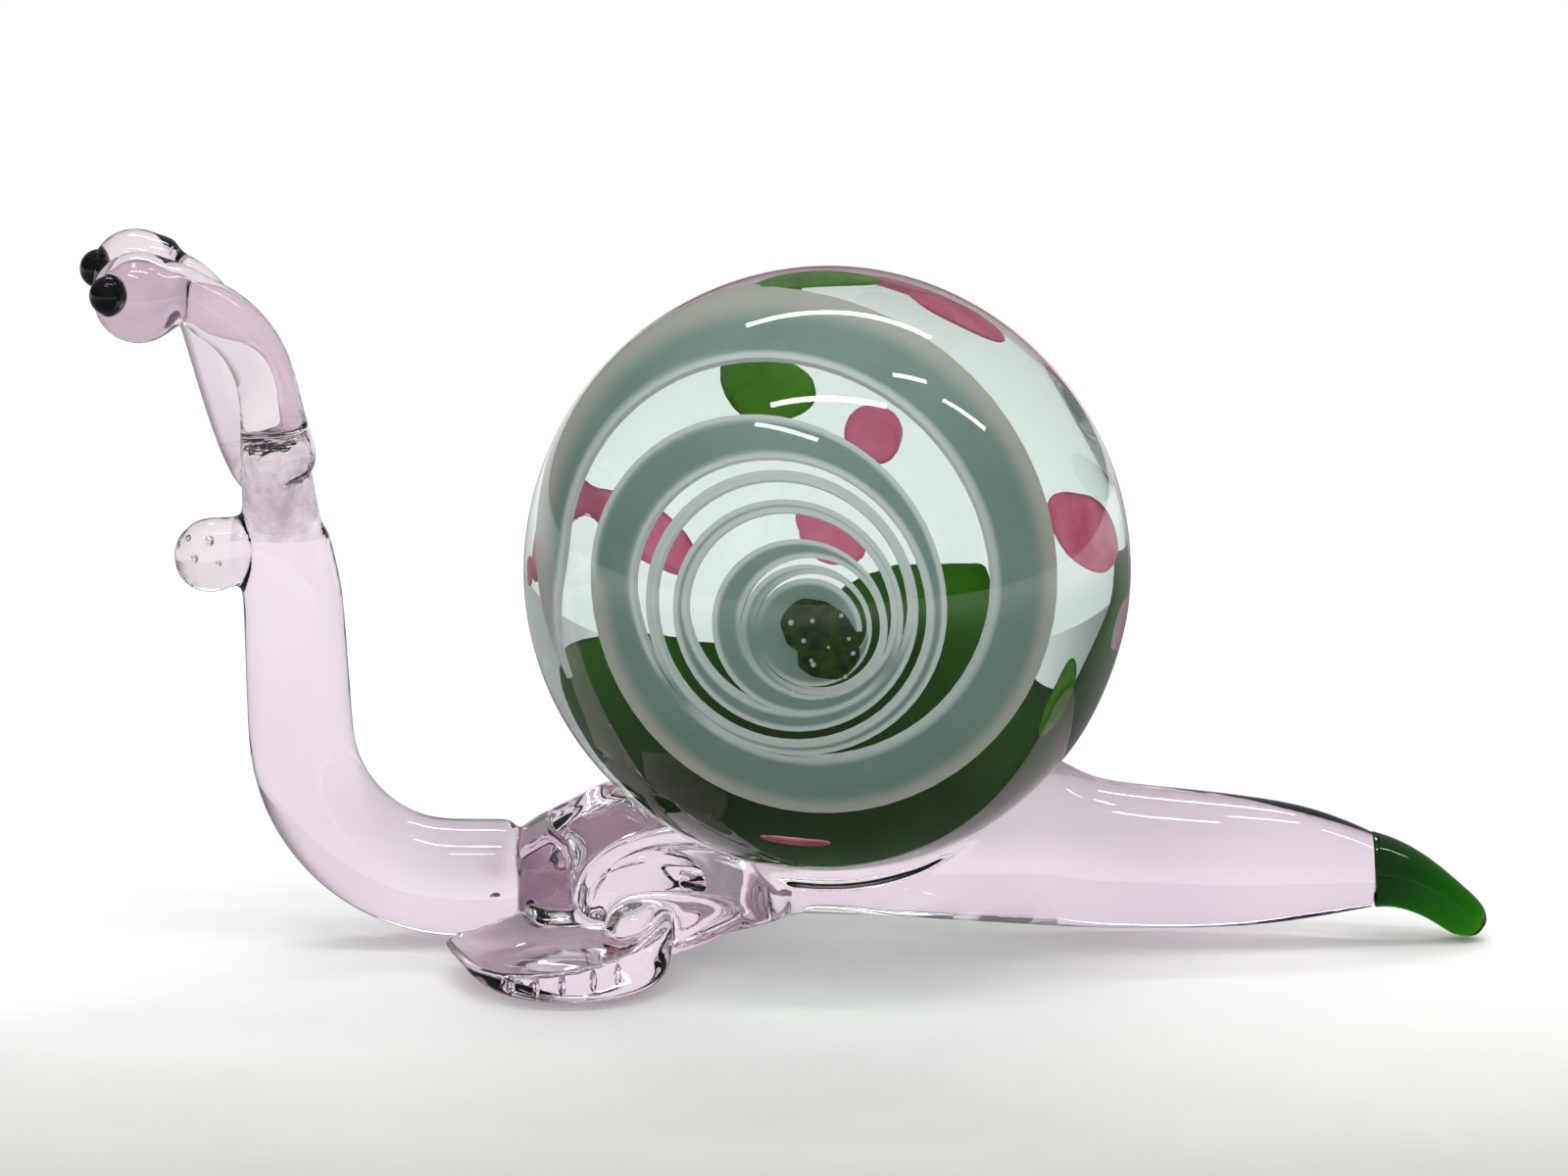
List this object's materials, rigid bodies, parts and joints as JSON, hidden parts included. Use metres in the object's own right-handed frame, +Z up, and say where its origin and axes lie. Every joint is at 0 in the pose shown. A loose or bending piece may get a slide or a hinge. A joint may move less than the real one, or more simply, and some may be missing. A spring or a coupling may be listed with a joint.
{
  "type": "glass snail figurine",
  "caption": "Lampworked glass snail ornament: clear ball shell inlaid with a spiral cane and coloured chips, on a pink rod body with eye stalks, flat crimped feet and a green tail.",
  "frame": {"origin": "on the ground, under the middle of the overall box", "axes": "+X from head to tail, +Z up, -Y towards the flank with the spiral (the snail's left)"},
  "size_m": [0.0726, 0.0308, 0.0378],
  "materials": {
    "pink_glass": "fire-polished",
    "clear_glass": "fire-polished",
    "white_glass": "opaque, fire-polished",
    "green_glass": "fire-polished",
    "dark_green_glass": "opaque",
    "rose_glass": "fire-polished",
    "black_glass": "opaque, fire-polished"
  },
  "bodies": {
    "root": {"apex_chip": "dark_green_glass", "chest": "pink_glass", "green_back_patch": "green_glass", "green_chips": "green_glass", "head": "pink_glass", "left_eye": "black_glass", "left_foot": "pink_glass", "left_stalk": "pink_glass", "muzzle": "pink_glass", "neck": "pink_glass", "pink_chips": "rose_glass", "right_eye": "black_glass", "right_foot": "pink_glass", "right_stalk": "pink_glass", "shell_ball": "clear_glass", "spiral_cane": "white_glass", "tail": "pink_glass", "tail_tip": "green_glass"}
  },
  "joints": []
}
